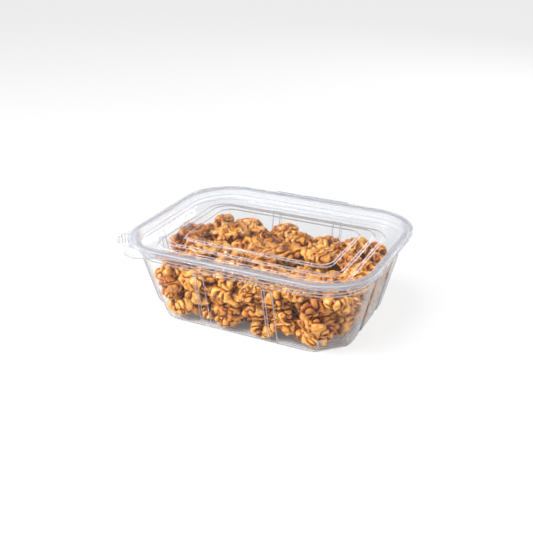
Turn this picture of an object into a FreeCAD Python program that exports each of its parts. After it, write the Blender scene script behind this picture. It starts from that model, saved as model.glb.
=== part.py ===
import FreeCAD, Part
import math
import os
import random

# Clear hinged food pack holding shelled walnut halves.
# Millimetres. X runs along the pack, -Y is the front with the opening tabs, +Y the hinge.
# The origin is the middle of the base, and the pack stands on z = 0.

# Sheet and rim
SHEET = 0.5
RIM_LENGTH = 190.0
RIM_WIDTH = 148.0
RIM_CORNER = 39.0
RIM_HEIGHT = 62.0
LID_SKIRT = 1.9
RIM_GAP = 0.3
TRAY_LIP_WIDTH = 1.1
TRAY_LIP_DROP = 2.7
RECESS_INSET = 5.9
RECESS_STEP_DEPTH = 5.6
RECESS_STEP_WIDTH = 0.6
RECESS_DRAFT = 0.3
RECESS_DEPTH = 9.0
PLUG_GAP = 0.5

# Raised panels of the lid, from the outermost inwards
PANEL_LENGTH = 150.0
PANEL_WIDTH = 102.0
PANEL_CORNER = 15.0
PANEL_RISE = 1.6
PANEL_SLOPE = 0.9
PANEL_CORNER_SHARE = 0.3
PANEL_TREADS = [6.5, 9.5]

# Tray walls and base
WALL_TOP = 49.5
WALL_INSET = 6.9
SHOULDER_HEIGHT = 2.4
SHOULDER_STEP = 1.2
BASE_LENGTH = 153.4
BASE_WIDTH = 111.6
BASE_CORNER = 27.0
CORNER_CUT = 19.5
LEDGE_HEIGHT = 12.0
EDGE_BEVEL = 1.6
GROOVE_MARGIN = 5.0
GROOVE_WIDTH = 4.0
GROOVE_HEIGHT = 1.2

# Upright flutes pressed into the walls
FLUTE_WIDTH = 7.4
FLUTE_DEPTH = 1.7
FLUTE_SLOPE = 1.0
FLUTE_FLARE = 0.6
FLUTE_TOP = 47.5
FLUTE_X = 26.5
FLUTE_Y = 17.0

# Opening tabs on the front left corner, with angles round the corner's centre in degrees
LID_TAB_START = 195.0
LID_TAB_TIP = 217.0
LID_TAB_END = 260.0
LID_TAB_REACH = 9.4
LID_TAB_ROUND = 14.0
TRAY_TAB_START = 226.0
TRAY_TAB_TIP = 250.0
TRAY_TAB_END = 270.0
TRAY_TAB_RUN = 12.0
TRAY_TAB_REACH = 11.0
TRAY_TAB_ROUND = 13.0
TAB_DOT = 0.6
TAB_DOT_HEIGHT = 0.35
TAB_DOT_PITCH = 2.2
TAB_DOT_EDGE = 1.9
TAB_DOT_ROWS = [5, 7, 8, 8]

# Hinge along the back
HINGE_LENGTH = 62.0
HINGE_REACH = 2.2
HINGE_BEAD = 0.6

# Walnut halves: each ring is (share of the height, share of the reach), each tilt is in degrees
NUT_LENGTH = 26.0
NUT_WIDTH = 19.5
NUT_HEIGHT = 12.0
NUT_CORNERS = 12
NUT_RINGS = [(0.0, 0.84), (0.38, 1.0), (0.8, 0.64)]
NUT_CROWN = 0.22
NUT_RIB = 0.07
NUT_JITTER = 0.05
NUT_NOTCH = 0.16
NUT_LOBE_RISE = 0.2
NUT_FLAT_SHARE = 0.45
NUT_LEANING_SHARE = 0.35
NUT_FLAT_TILT = 35
NUT_LEANING_TILT = 100
NUT_UPTURNED_TILT = 145
NUT_SPREAD = 0.13
NUT_PIECES = 0.16
NUT_PIECE_SIZE = 0.68
NUT_GAP = 0.4
NUT_WALL_GAP = 0.4

# How the heap is filled
NUT_SEED = 21
NUT_TURNS = 10
NUT_PLACES = 34
NUT_MISSES = 25
NUT_NODES = 56
GRID = 1.0
FINE_SHARE = 2
HALVINGS = 10
WALL_PULL = 7.0
FILL_LEFT = 51.5
FILL_RIGHT = 47.0
FILL_BACK_DROP = 5.0

TRAY_LIP_TOP = RIM_HEIGHT - TRAY_LIP_DROP
TRAY_BEAD_TOP = RIM_HEIGHT - SHEET - RIM_GAP
RECESS_FLOOR = RIM_HEIGHT - RECESS_DEPTH
PLUG_BOTTOM = RECESS_FLOOR - SHEET
NECK_INSET = RECESS_INSET - SHEET - PLUG_GAP - SHEET
SHOULDER_Z = PLUG_BOTTOM - RIM_GAP - SHEET
HINGE_Y = RIM_WIDTH / 2 + HINGE_REACH
HINGE_Z = (RIM_HEIGHT + TRAY_LIP_TOP - SHEET) / 2


def node(name, shape):
    """Write one named piece."""
    shape.exportStep("parts/" + name + ".step")


def rounded(half_x, half_y, radius, z):
    """A closed wire: a rectangle with round corners at height z."""
    edges = []
    turns = [(1, 1, 0), (-1, 1, 90), (-1, -1, 180), (1, -1, 270)]
    ends = []
    for sign_x, sign_y, start in turns:
        cx = sign_x * (half_x - radius)
        cy = sign_y * (half_y - radius)
        points = []
        for angle in (start, start + 45, start + 90):
            a = math.radians(angle)
            points.append(FreeCAD.Vector(cx + radius * math.cos(a), cy + radius * math.sin(a), z))
        ends.append(points)
    for i, points in enumerate(ends):
        edges.append(Part.Arc(*points).toShape())
        edges.append(Part.makeLine(points[2], ends[(i + 1) % 4][0]))
    return Part.Wire(edges)


def frustum(low, high):
    """A solid between two sections, each (half_x, half_y, radius, z)."""
    return Part.makeLoft([rounded(*low), rounded(*high)], True, True)


def rim(inset, z):
    """The section of the rim at an inset from its outer edge."""
    return (RIM_LENGTH / 2 - inset, RIM_WIDTH / 2 - inset, RIM_CORNER - inset, z)


def wall(z, inset=0.0):
    """The section of the tapered tray wall at height z, moved inwards by an inset."""
    top = rim(WALL_INSET, WALL_TOP)
    base = (BASE_LENGTH / 2, BASE_WIDTH / 2, BASE_CORNER, 0.0)
    share = z / WALL_TOP
    sizes = [low + (high - low) * share - inset for low, high in zip(base[:3], top[:3])]
    return (sizes[0], sizes[1], sizes[2], z)


def octagon(z, inset=0.0):
    """The eight-sided section that cuts the lower corners."""
    half_x, half_y, _, _ = wall(z, inset)
    reach = 2 * inset - inset * math.sqrt(2)
    cut = CORNER_CUT - reach
    points = []
    for sx, sy in ((1, 1), (-1, 1), (-1, -1), (1, -1)):
        side = FreeCAD.Vector(sx * half_x, sy * (half_y - cut), z)
        front = FreeCAD.Vector(sx * (half_x - cut), sy * half_y, z)
        points += [side, front] if sx * sy > 0 else [front, side]
    return Part.makePolygon(points + [points[0]])


def octagon_solid(low, high, low_inset, high_inset):
    """A solid between two eight-sided sections."""
    return Part.makeLoft([octagon(low, low_inset), octagon(high, high_inset)], True, True)


def box_between(x0, x1, y0, y1, z0, z1):
    """A box given by its limits."""
    corner = FreeCAD.Vector(min(x0, x1), min(y0, y1), min(z0, z1))
    return Part.makeBox(abs(x1 - x0), abs(y1 - y0), abs(z1 - z0), corner)


def wall_body(inset, floor, ledge):
    """The tray wall as one filled body, with its cut corners below the ledge."""
    bevel = floor + EDGE_BEVEL
    foot = frustum(wall(floor, inset + EDGE_BEVEL), wall(bevel, inset))
    foot = foot.common(octagon_solid(floor, bevel, inset + EDGE_BEVEL, inset))
    low = frustum(wall(bevel, inset), wall(ledge, inset))
    low = low.common(octagon_solid(bevel, ledge, inset, inset))
    high = frustum(wall(ledge, inset), wall(WALL_TOP, inset))
    return foot.fuse([low, high])


def flute(along_x, place, side, grow):
    """One upright groove in a wall, grown by the sheet for the inner surface."""
    half = FLUTE_WIDTH / 2 + grow
    top = FLUTE_TOP + grow
    wires = []
    for z, depth in ((-grow, FLUTE_DEPTH + grow), (top - FLUTE_DEPTH, FLUTE_DEPTH + grow), (top, 0.0)):
        half_x, half_y, _, _ = wall(z)
        face = half_y if along_x else half_x
        inner = face - depth
        outer = face + RIM_CORNER
        narrow = half - FLUTE_SLOPE
        wide = narrow + (FLUTE_SLOPE + outer - inner) * FLUTE_FLARE
        corners = [(place - narrow, inner), (place + narrow, inner)]
        corners += [(place + wide, outer), (place - wide, outer)]
        points = []
        for u, v in corners:
            points.append(FreeCAD.Vector(u, side * v, z) if along_x else FreeCAD.Vector(side * v, u, z))
        wires.append(Part.makePolygon(points + [points[0]]))
    return Part.makeLoft(wires, True, True)


def flutes(grow):
    """All the grooves: two on each long wall and two on each short wall."""
    cuts = []
    for side in (-1, 1):
        for sign in (-1, 1):
            cuts.append(flute(True, sign * FLUTE_X, side, grow))
            cuts.append(flute(False, sign * FLUTE_Y, side, grow))
    return cuts


def base_groove(grow):
    """The stiffening groove pressed up around the base, grown by the sheet for the inner surface."""
    top = GROOVE_HEIGHT + grow
    outer = GROOVE_MARGIN - grow
    inner = GROOVE_MARGIN + GROOVE_WIDTH + grow
    middle = octagon_solid(0.0, top, inner, inner - GROOVE_HEIGHT / 2)
    return octagon_solid(0.0, top, outer, outer + GROOVE_HEIGHT / 2).cut(middle)


def corner_spot(angle, distance, z):
    """A point at an angle and a distance from the centre of the front left corner's round."""
    a = math.radians(angle)
    cx = RIM_CORNER - RIM_LENGTH / 2
    cy = RIM_CORNER - RIM_WIDTH / 2
    return FreeCAD.Vector(cx + distance * math.cos(a), cy + distance * math.sin(a), z)


def touch_angle(centre, radius, spot, side):
    """Where a straight line from a spot touches a circle, as an angle round the circle's centre."""
    away = spot - centre
    return math.atan2(away.y, away.x) + side * math.acos(radius / away.Length)


def tab(start, tip, end, run, reach, radius, top):
    """One opening tab: a flat plate whose round tip is joined to the rim by two straight edges."""
    z = top - SHEET
    first = corner_spot(start, RIM_CORNER, z)
    last = corner_spot(end, RIM_CORNER, z) + FreeCAD.Vector(run, 0, 0)
    centre = corner_spot(tip, RIM_CORNER + reach - radius, z)
    begin = touch_angle(centre, radius, first, 1)
    finish = touch_angle(centre, radius, last, -1)
    while finish < begin:
        finish += 2 * math.pi
    arc = []
    for angle in (begin, (begin + finish) / 2, finish):
        arc.append(centre + FreeCAD.Vector(radius * math.cos(angle), radius * math.sin(angle), 0))
    edges = [Part.makeLine(first, arc[0]), Part.Arc(*arc).toShape(), Part.makeLine(arc[2], last)]
    plate = Part.Face(Part.Wire(edges + [Part.makeLine(last, first)])).extrude(FreeCAD.Vector(0, 0, SHEET))
    return plate.cut(frustum(rim(SHEET, z - SHEET), rim(SHEET, top + SHEET)))


def lid_tab():
    """The lid's tab, level with the foot of its skirt, with rows of small raised dots."""
    top = RIM_HEIGHT - LID_SKIRT + SHEET
    plate = tab(LID_TAB_START, LID_TAB_TIP, LID_TAB_END, 0.0, LID_TAB_REACH, LID_TAB_ROUND, top)
    dots = []
    for row, count in enumerate(TAB_DOT_ROWS):
        x = RIM_CORNER + LID_TAB_REACH - TAB_DOT_EDGE - row * TAB_DOT_PITCH
        for i in range(count):
            y = (i - (count - 1) / 2) * TAB_DOT_PITCH
            spot = corner_spot(LID_TAB_TIP + math.degrees(math.atan2(y, x)), math.hypot(x, y), top)
            dots.append(Part.makeCone(TAB_DOT, TAB_DOT / 2, TAB_DOT_HEIGHT, spot))
    return plate.fuse(dots)


def tray_tab():
    """The tray's tab, level with its lip."""
    return tab(TRAY_TAB_START, TRAY_TAB_TIP, TRAY_TAB_END, TRAY_TAB_RUN, TRAY_TAB_REACH, TRAY_TAB_ROUND,
               TRAY_LIP_TOP)


def hinge_plate(top):
    """The strip that carries a flange back to the hinge line."""
    half = HINGE_LENGTH / 2
    back = HINGE_Y - RIM_GAP
    return box_between(-half, half, RIM_WIDTH / 2 - TRAY_LIP_WIDTH, back, top - SHEET, top)


def make_tray():
    """The tray: base, fluted walls, shoulder, neck and stepped rim, all one pressed sheet."""
    outside = wall_body(0.0, 0.0, LEDGE_HEIGHT)
    inside = wall_body(SHEET, SHEET, LEDGE_HEIGHT + SHEET)
    outside = outside.cut(flutes(0.0) + [base_groove(0.0)])
    inside = inside.cut(flutes(SHEET) + [base_groove(SHEET)])
    shoulder_low = SHOULDER_Z - SHOULDER_HEIGHT
    step = NECK_INSET + SHOULDER_STEP
    collar = frustum(rim(WALL_INSET, WALL_TOP), rim(step, SHOULDER_Z))
    neck = frustum(rim(NECK_INSET, SHOULDER_Z), rim(NECK_INSET, TRAY_BEAD_TOP))
    bead = frustum(rim(TRAY_LIP_WIDTH, TRAY_LIP_TOP - SHEET), rim(TRAY_LIP_WIDTH, TRAY_BEAD_TOP))
    lip = frustum(rim(0.0, TRAY_LIP_TOP - SHEET), rim(0.0, TRAY_LIP_TOP))
    extras = [collar, neck, bead, lip, tray_tab(), hinge_plate(TRAY_LIP_TOP)]
    outside = outside.fuse(extras)
    under = TRAY_BEAD_TOP - SHEET
    channel = frustum(rim(TRAY_LIP_WIDTH + SHEET, TRAY_LIP_TOP - SHEET), rim(TRAY_LIP_WIDTH + SHEET, under))
    channel = channel.cut(frustum(rim(NECK_INSET, TRAY_LIP_TOP - SHEET), rim(NECK_INSET, under)))
    inner_collar = frustum(rim(WALL_INSET + SHEET, WALL_TOP), rim(step + SHEET, SHOULDER_Z + SHEET))
    inner_neck = frustum(rim(NECK_INSET + SHEET, SHOULDER_Z + SHEET), rim(NECK_INSET + SHEET, TRAY_BEAD_TOP))
    return outside.cut([channel, inside, inner_collar, inner_neck]).removeSplitter()


def panel(inset, top):
    """One raised panel of the lid, from the recess floor up to a height."""
    half_x = PANEL_LENGTH / 2 - inset
    half_y = PANEL_WIDTH / 2 - inset
    corner = PANEL_CORNER - inset * PANEL_CORNER_SHARE
    low = top - PANEL_RISE
    return frustum((half_x, half_y, corner, low), (half_x - PANEL_SLOPE, half_y - PANEL_SLOPE, corner, top))


def panels(shift, grow):
    """The stack of raised panels, moved up by shift and widened by grow."""
    shapes = []
    inset = -grow
    top = RECESS_FLOOR + shift
    for tread in PANEL_TREADS + [0.0]:
        top += PANEL_RISE
        shapes.append(panel(inset, top))
        inset += tread
    return shapes


def make_lid():
    """The lid: skirted flange, stepped recess and three raised panels, all one pressed sheet."""
    outer_inset = RECESS_INSET - SHEET
    ledge = RIM_HEIGHT - RECESS_STEP_DEPTH
    low_inset = RECESS_INSET + RECESS_STEP_WIDTH
    block = frustum(rim(0.0, RIM_HEIGHT - SHEET), rim(0.0, RIM_HEIGHT))
    skirt = frustum(rim(0.0, RIM_HEIGHT - LID_SKIRT), rim(0.0, RIM_HEIGHT - SHEET))
    skirt = skirt.cut(frustum(rim(SHEET, RIM_HEIGHT - LID_SKIRT), rim(SHEET, RIM_HEIGHT - SHEET)))
    half = HINGE_LENGTH / 2
    gate = box_between(-half, half, 0, HINGE_Y, RIM_HEIGHT - LID_SKIRT, RIM_HEIGHT - SHEET)
    skirt = skirt.cut(gate)
    plug_high = frustum(rim(outer_inset + RECESS_DRAFT, ledge - SHEET), rim(outer_inset, RIM_HEIGHT - SHEET))
    low_outer = low_inset - SHEET
    plug_low = frustum(rim(low_outer + RECESS_DRAFT, PLUG_BOTTOM), rim(low_outer, ledge - SHEET))
    body = block.fuse([skirt, plug_high, plug_low, lid_tab(), hinge_plate(RIM_HEIGHT)])
    body = body.cut(panels(-SHEET, -SHEET))
    recess_high = frustum(rim(RECESS_INSET + RECESS_DRAFT, ledge), rim(RECESS_INSET, RIM_HEIGHT))
    recess_low = frustum(rim(low_inset + RECESS_DRAFT, RECESS_FLOOR), rim(low_inset, ledge))
    recess = recess_high.fuse(recess_low).cut(panels(0.0, 0.0))
    return body.cut(recess).removeSplitter()


def make_hinge():
    """The rounded bead of the hinge, standing on the strip behind the tray's rim."""
    half = HINGE_LENGTH / 2
    start = FreeCAD.Vector(-half, HINGE_Y, HINGE_Z)
    bead = Part.makeCylinder(HINGE_BEAD, HINGE_LENGTH, start, FreeCAD.Vector(1, 0, 0))
    back = HINGE_Y - RIM_GAP
    foot = box_between(-half, half, back - HINGE_BEAD, back, TRAY_LIP_TOP, HINGE_Z)
    return bead.fuse(foot).removeSplitter()


def nut_points(rng, length, width, height):
    """Corner points of one walnut half: a flat-bottomed dome of two ribbed lobes with a groove."""
    points = []
    for level, (share, reach) in enumerate(NUT_RINGS):
        for i in range(NUT_CORNERS):
            angle = 2 * math.pi * i / NUT_CORNERS
            rib = 1 + NUT_RIB * (-1) ** (i + level) + rng.uniform(-NUT_JITTER, NUT_JITTER)
            notch = 1 - NUT_NOTCH * abs(math.cos(angle)) ** 8
            x = math.cos(angle) * length / 2 * reach * rib * notch
            y = math.sin(angle) * width / 2 * reach * rib
            z = share * height
            if level == 1:
                z += rng.uniform(-NUT_JITTER, NUT_JITTER) * height
            if level == 2:
                z += NUT_LOBE_RISE * (abs(math.sin(angle)) - 0.5) * height
            points.append(FreeCAD.Vector(x, y, z - height / 2))
    points.append(FreeCAD.Vector(0, 0, NUT_CROWN * height))
    return points


def nut_faces():
    """The corner numbers of each face: the flat underside, two bands of triangles and the crown."""
    count = NUT_CORNERS
    faces = [list(reversed(range(count)))]
    for level in (0, 1):
        for i in range(count):
            a = level * count + i
            b = level * count + (i + 1) % count
            faces += [[a, b, b + count], [a, b + count, a + count]]
    crown = 3 * count
    for i in range(count):
        faces.append([2 * count + i, 2 * count + (i + 1) % count, crown])
    return faces


def nut_solid(points):
    """A solid with flat faces through the corner points."""
    faces = []
    for corners in nut_faces():
        loop = [points[i] for i in corners]
        faces.append(Part.Face(Part.makePolygon(loop + [loop[0]])))
    return Part.Solid(Part.Shell(faces))


def inside_wall(x, y, z):
    """Whether a point clears the tray's inner surface."""
    inset = SHEET + NUT_WALL_GAP
    half_x, half_y, radius, _ = wall(z, inset)
    border = GROOVE_MARGIN + GROOVE_WIDTH
    corner = half_x + half_y - CORNER_CUT
    over_groove = x > half_x - border or y > half_y - border or x + y > corner - border * math.sqrt(2)
    if z < inset + (GROOVE_HEIGHT if over_groove else 0.0):
        return False
    if z < FLUTE_TOP + inset:
        half = FLUTE_WIDTH / 2 + inset
        half_y -= FLUTE_DEPTH if abs(x - FLUTE_X) < half else 0.0
        half_x -= FLUTE_DEPTH if abs(y - FLUTE_Y) < half else 0.0
    if x > half_x or y > half_y:
        return False
    if z < LEDGE_HEIGHT + inset:
        return x + y < corner
    over_x = x - (half_x - radius)
    over_y = y - (half_y - radius)
    return over_x < 0 or over_y < 0 or math.hypot(over_x, over_y) < radius


def wall_height(x, y):
    """The height of the tray's inner surface over a point of the base."""
    low, high = 0.0, WALL_TOP
    if not inside_wall(abs(x), abs(y), high):
        return RIM_HEIGHT
    for _ in range(HALVINGS):
        middle = (low + high) / 2
        if inside_wall(abs(x), abs(y), middle):
            high = middle
        else:
            low = middle
    return high


def fill_height(x, y):
    """How high the heap may reach: highest on the left, and lower towards the back."""
    along = x / BASE_LENGTH + 0.5
    back = max(0.0, y / (BASE_WIDTH / 2))
    return FILL_LEFT + (FILL_RIGHT - FILL_LEFT) * along - FILL_BACK_DROP * back


def shadow(points, grid):
    """The lowest and highest point of a nut over each grid place that it covers."""
    cells = {}
    for corners in nut_faces():
        for k in range(1, len(corners) - 1):
            a, b, c = points[corners[0]], points[corners[k]], points[corners[k + 1]]
            area = (b.x - a.x) * (c.y - a.y) - (c.x - a.x) * (b.y - a.y)
            if abs(area) < 1e-9:
                continue
            columns = range(math.ceil(min(a.x, b.x, c.x) / grid), math.floor(max(a.x, b.x, c.x) / grid) + 1)
            rows = range(math.ceil(min(a.y, b.y, c.y) / grid), math.floor(max(a.y, b.y, c.y) / grid) + 1)
            for i in columns:
                for j in rows:
                    x, y = i * grid, j * grid
                    u = ((x - a.x) * (c.y - a.y) - (c.x - a.x) * (y - a.y)) / area
                    v = ((b.x - a.x) * (y - a.y) - (x - a.x) * (b.y - a.y)) / area
                    if u < 0 or v < 0 or u + v > 1:
                        continue
                    z = a.z + u * (b.z - a.z) + v * (c.z - a.z)
                    low, high = cells.get((i, j), (z, z))
                    cells[(i, j)] = (min(low, z), max(high, z))
    return cells


def empty_tray(grid):
    """The height of the tray's inner surface over each grid place."""
    heap = {}
    for i in range(int(RIM_LENGTH / 2 / grid) + 1):
        for j in range(int(RIM_WIDTH / 2 / grid) + 1):
            height = wall_height(i * grid, j * grid)
            if height < RIM_HEIGHT:
                for spot in ((i, j), (-i, j), (i, -j), (-i, -j)):
                    heap[spot] = height
    return heap


def lay_nut(heap, cells, i, j, z):
    """Raise the heap by a nut laid over grid place i, j at height z, with a margin one place wide."""
    for (di, dj), (low, high) in cells.items():
        for ri in (-1, 0, 1):
            for rj in (-1, 0, 1):
                if (ri or rj) and (di + ri, dj + rj) in cells:
                    continue
                spot = (i + di + ri, j + dj + rj)
                if spot in heap:
                    heap[spot] = max(heap[spot], z + high)


def rest_height(heap, cells, i, j):
    """The height at which a nut comes to rest over grid place i, j, or None outside the tray."""
    height = 0.0
    for (di, dj), (low, high) in cells.items():
        under = heap.get((i + di, j + dj))
        if under is None:
            return None
        height = max(height, under - low)
    return height + NUT_GAP


def random_nut(rng):
    """The corner points of one nut of a random size, some of them only a piece of a half."""
    size = rng.uniform(1 - NUT_SPREAD, 1 + NUT_SPREAD)
    if rng.random() < NUT_PIECES:
        size *= NUT_PIECE_SIZE
    return nut_points(rng, NUT_LENGTH * size, NUT_WIDTH * size, NUT_HEIGHT * size)


def random_turn(rng):
    """A random turn: most nuts lie nearly flat, the others tilt, stand or lie upside down."""
    kind = rng.random()
    if kind < NUT_FLAT_SHARE:
        tilt = rng.uniform(0, NUT_FLAT_TILT)
    elif kind < NUT_FLAT_SHARE + NUT_LEANING_SHARE:
        tilt = rng.uniform(NUT_FLAT_TILT, NUT_LEANING_TILT)
    else:
        tilt = rng.uniform(NUT_UPTURNED_TILT, 180)
    yaw = FreeCAD.Rotation(FreeCAD.Vector(0, 0, 1), rng.uniform(0, 360))
    lean = rng.uniform(0, 2 * math.pi)
    return FreeCAD.Rotation(FreeCAD.Vector(math.cos(lean), math.sin(lean), 0), tilt).multiply(yaw)


def best_place(rng, heap, points):
    """The lowest place found for a nut, drawn a little to the walls: its grid place and turned points."""
    best = None
    reach_x = int(BASE_LENGTH / 2 / GRID)
    reach_y = int(BASE_WIDTH / 2 / GRID)
    for _ in range(NUT_TURNS):
        turn = random_turn(rng)
        turned = [turn.multVec(p) for p in points]
        cells = shadow(turned, GRID)
        top = max(p.z for p in turned)
        for _ in range(NUT_PLACES):
            i = rng.randint(-reach_x, reach_x)
            j = rng.randint(-reach_y, reach_y)
            z = rest_height(heap, cells, i, j)
            if z is None or z + top > fill_height(i * GRID, j * GRID):
                continue
            side = max(abs(i) * GRID / (BASE_LENGTH / 2), abs(j) * GRID / (BASE_WIDTH / 2))
            score = z + top - WALL_PULL * side ** 2
            if best is None or score < best[0]:
                best = (score, i, j, turned, cells)
    return best


def heap_of_nuts():
    """Drop nuts one by one to the lowest place found, until no more fit under the fill height."""
    rng = random.Random(NUT_SEED)
    heap = empty_tray(GRID)
    fine_grid = GRID / FINE_SHARE
    fine_heap = empty_tray(fine_grid)
    nuts = []
    misses = 0
    while misses < NUT_MISSES:
        found = best_place(rng, heap, random_nut(rng))
        if found is None:
            misses += 1
            continue
        _, i, j, turned, cells = found
        fine_cells = shadow(turned, fine_grid)
        z = rest_height(fine_heap, fine_cells, i * FINE_SHARE, j * FINE_SHARE)
        if z is None:
            continue
        lay_nut(heap, cells, i, j, z)
        lay_nut(fine_heap, fine_cells, i * FINE_SHARE, j * FINE_SHARE, z)
        shift = FreeCAD.Vector(i * GRID, j * GRID, z)
        nuts.append([p + shift for p in turned])
    return nuts


def write_nuts():
    """Each of the upper halves as its own piece, and the lowest ones together."""
    nuts = heap_of_nuts()
    solids = [nut_solid(points) for points in nuts]
    print("walnut halves", len(solids))
    lowest = len(solids) - NUT_NODES
    node("walnuts_at_bottom", Part.makeCompound(solids[:lowest]))
    for number, solid in enumerate(solids[lowest:]):
        node("walnut_half_%02d" % (number + 1), solid)


if __name__ == "__main__":
    os.makedirs("parts", exist_ok=True)
    node("tray", make_tray())
    node("lid", make_lid())
    node("hinge_web", make_hinge())
    write_nuts()
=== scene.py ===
# %% [markdown]
# # A clear hinged food pack full of walnut halves
# The real pack is pressed from one thin sheet of clear plastic. A tapered tray with upright
# flutes holds the walnuts, and a lid with a sunk middle folds over on a hinge at the back.
# What one sees of clear plastic is mostly its bends: each fold bends the light, so it shows
# as a bright and a dark line. This lesson therefore models every bend as a real round, and also
# paints pale light onto the bends.

# %% Load the measured model
import math

import bmesh
import bpy
from mathutils import Matrix, Vector, noise


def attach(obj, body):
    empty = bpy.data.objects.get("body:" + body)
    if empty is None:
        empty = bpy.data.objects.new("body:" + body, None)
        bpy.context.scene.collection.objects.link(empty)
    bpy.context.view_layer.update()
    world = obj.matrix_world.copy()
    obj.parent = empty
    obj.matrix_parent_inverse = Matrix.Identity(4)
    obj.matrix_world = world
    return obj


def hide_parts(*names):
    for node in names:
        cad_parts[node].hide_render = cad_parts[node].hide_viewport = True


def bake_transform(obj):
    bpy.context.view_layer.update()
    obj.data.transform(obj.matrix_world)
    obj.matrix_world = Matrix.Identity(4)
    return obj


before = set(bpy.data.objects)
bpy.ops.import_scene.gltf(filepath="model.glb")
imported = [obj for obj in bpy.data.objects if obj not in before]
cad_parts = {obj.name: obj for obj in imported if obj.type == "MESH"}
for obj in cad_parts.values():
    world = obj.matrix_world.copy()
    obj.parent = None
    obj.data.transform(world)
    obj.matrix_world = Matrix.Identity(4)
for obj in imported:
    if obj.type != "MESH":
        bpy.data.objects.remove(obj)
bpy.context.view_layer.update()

MM = 0.001

# %% [markdown]
# ## Camera
# The camera stands where the photographer's stood: a little to the right of the front and
# 25 degrees above the table. Its place is worked out from the two angles and a distance, and
# two small shifts put the pack where it sits in the picture.

# %% Camera
AZIMUTH = math.radians(25.72)
ELEVATION = math.radians(25.48)
DISTANCE = 0.5822
SIDE_SHIFT = -0.00474
RISE_SHIFT = -0.0279
LENS = 53.06
RIM_TOP = 0.062

back = Vector((math.sin(AZIMUTH) * math.cos(ELEVATION), -math.cos(AZIMUTH) * math.cos(ELEVATION), math.sin(ELEVATION)))
right = Vector((math.cos(AZIMUTH), math.sin(AZIMUTH), 0))
upward = back.cross(right)

camera_data = bpy.data.cameras.new("camera")
camera_data.lens = LENS
camera_data.sensor_width = 36
camera = bpy.data.objects.new("camera", camera_data)
camera.location = Vector((0, 0, RIM_TOP)) + back * DISTANCE + right * SIDE_SHIFT + upward * RISE_SHIFT
camera.rotation_euler = (-back).to_track_quat("-Z", "Y").to_euler()
bpy.context.scene.collection.objects.link(camera)
bpy.context.scene.camera = camera
print("camera", [round(v, 3) for v in camera.location])

# %% [markdown]
# ## Sizes of the pressed sheet
# All sizes are in millimetres, and a section of the pack is four numbers: half its length,
# half its width, its corner radius and its height. The rim and the walls are such sections.

# %% Sizes
SHEET = 0.5
RIM = (95.0, 74.0, 39.0)
RIM_HEIGHT = 62.0
LIP_TOP = 59.3
LIP_INSET = 1.1
NECK_INSET = 4.4
BEAD_TOP = 61.2
SHOULDER = 51.7
SHOULDER_STEP = 1.2
WALL_INSET = 6.9
WALL_TOP = 49.5
BASE = (76.7, 55.8, 27.0)
CORNER_CUT = 19.5
LEDGE = 12.0
EDGE_BEVEL = 1.6
RECESS_INSET = 5.9
RECESS_FLOOR = 53.0
RECESS_LEDGE = 56.4
RECESS_STEP = 0.6
RECESS_DRAFT = 0.3
LID_SKIRT = 1.9
HINGE_HALF = 31.0
HINGE_BACK = 75.9


def section(half_x, half_y, radius, z):
    """One section of the pack, as a vector of four numbers."""
    return Vector((half_x, half_y, radius, z))


def rim(inset, z):
    """The rim's section, moved inwards."""
    return section(RIM[0] - inset, RIM[1] - inset, RIM[2] - inset, z)


def wall(z, inset=0.0):
    """The tapered wall's section at a height, moved inwards."""
    top = rim(WALL_INSET, WALL_TOP)
    low = section(*BASE, 0.0)
    here = low.lerp(top, z / WALL_TOP)
    return section(here[0] - inset, here[1] - inset, max(here[2] - inset, 4.0), z)


print("wall half sizes at mid height", [round(v, 1) for v in wall(25.0)])

# %% [markdown]
# ## Round bends
# A pressed sheet can't have sharp folds. The profile is first written with sharp corners, and
# each corner then becomes a short curve. One more station a little way off on each side keeps
# the flat parts flat when the shading is smoothed.

# %% Round bends
BEND_STEPS = 4
FLAT_MARGIN = 0.35


def gap_between(a, b):
    """How far apart two sections are along the sheet."""
    return max(math.hypot(a[0] - b[0], a[3] - b[3]), 1e-6)


def rounded_profile(stations):
    """Sections with each sharp bend made round. A station is (section, size of its bend)."""
    result = [stations[0][0]]
    for (before, _), (here, bend), (after, _) in zip(stations, stations[1:], stations[2:]):
        if bend == 0:
            result.append(here)
            continue
        legs = []
        for other in (before, after):
            length = gap_between(here, other)
            reach = min(bend, length * 0.45)
            margin = min(bend + FLAT_MARGIN, length * 0.49)
            legs.append((here.lerp(other, reach / length), here.lerp(other, margin / length)))
        result.append(legs[0][1])
        for i in range(BEND_STEPS + 1):
            t = i / BEND_STEPS
            result.append(legs[0][0].lerp(here, t).lerp(here.lerp(legs[1][0], t), t))
        result.append(legs[1][1])
    result.append(stations[-1][0])
    return result


# %% [markdown]
# ## Places round the pack
# The sheet is drawn as rings, and every ring has the same places in it: stops along the
# straight sides, close together where a flute is pressed in, and steps round the corners.

# %% Places round the pack
CORNERS = ((1, 1), (-1, 1), (-1, -1), (1, -1))


def places_round(x_stops, y_stops, arc_steps):
    """The places of one ring: (sign x, sign y, kind, stop or angle)."""
    places = []
    for k, (sx, sy) in enumerate(CORNERS):
        lead, trail = ("side", y_stops), ("end", x_stops)
        if k % 2:
            lead, trail = trail, lead
        places += [(sx, sy, lead[0], stop) for stop in lead[1]]
        places += [(sx, sy, "corner", 90.0 * (k + i / arc_steps[k])) for i in range(arc_steps[k] + 1)]
        places += [(sx, sy, trail[0], stop) for stop in reversed(trail[1]) if stop > 0]
    return places


def spot(place, here):
    """The point of a section at one place of the ring."""
    sx, sy, kind, value = place
    half_x, half_y, radius, z = here
    if kind == "side":
        return Vector((sx * half_x, sy * value, z))
    if kind == "end":
        return Vector((sx * value, sy * half_y, z))
    angle = math.radians(value)
    x = sx * (half_x - radius) + radius * math.cos(angle)
    y = sy * (half_y - radius) + radius * math.sin(angle)
    return Vector((x, y, z))


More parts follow.
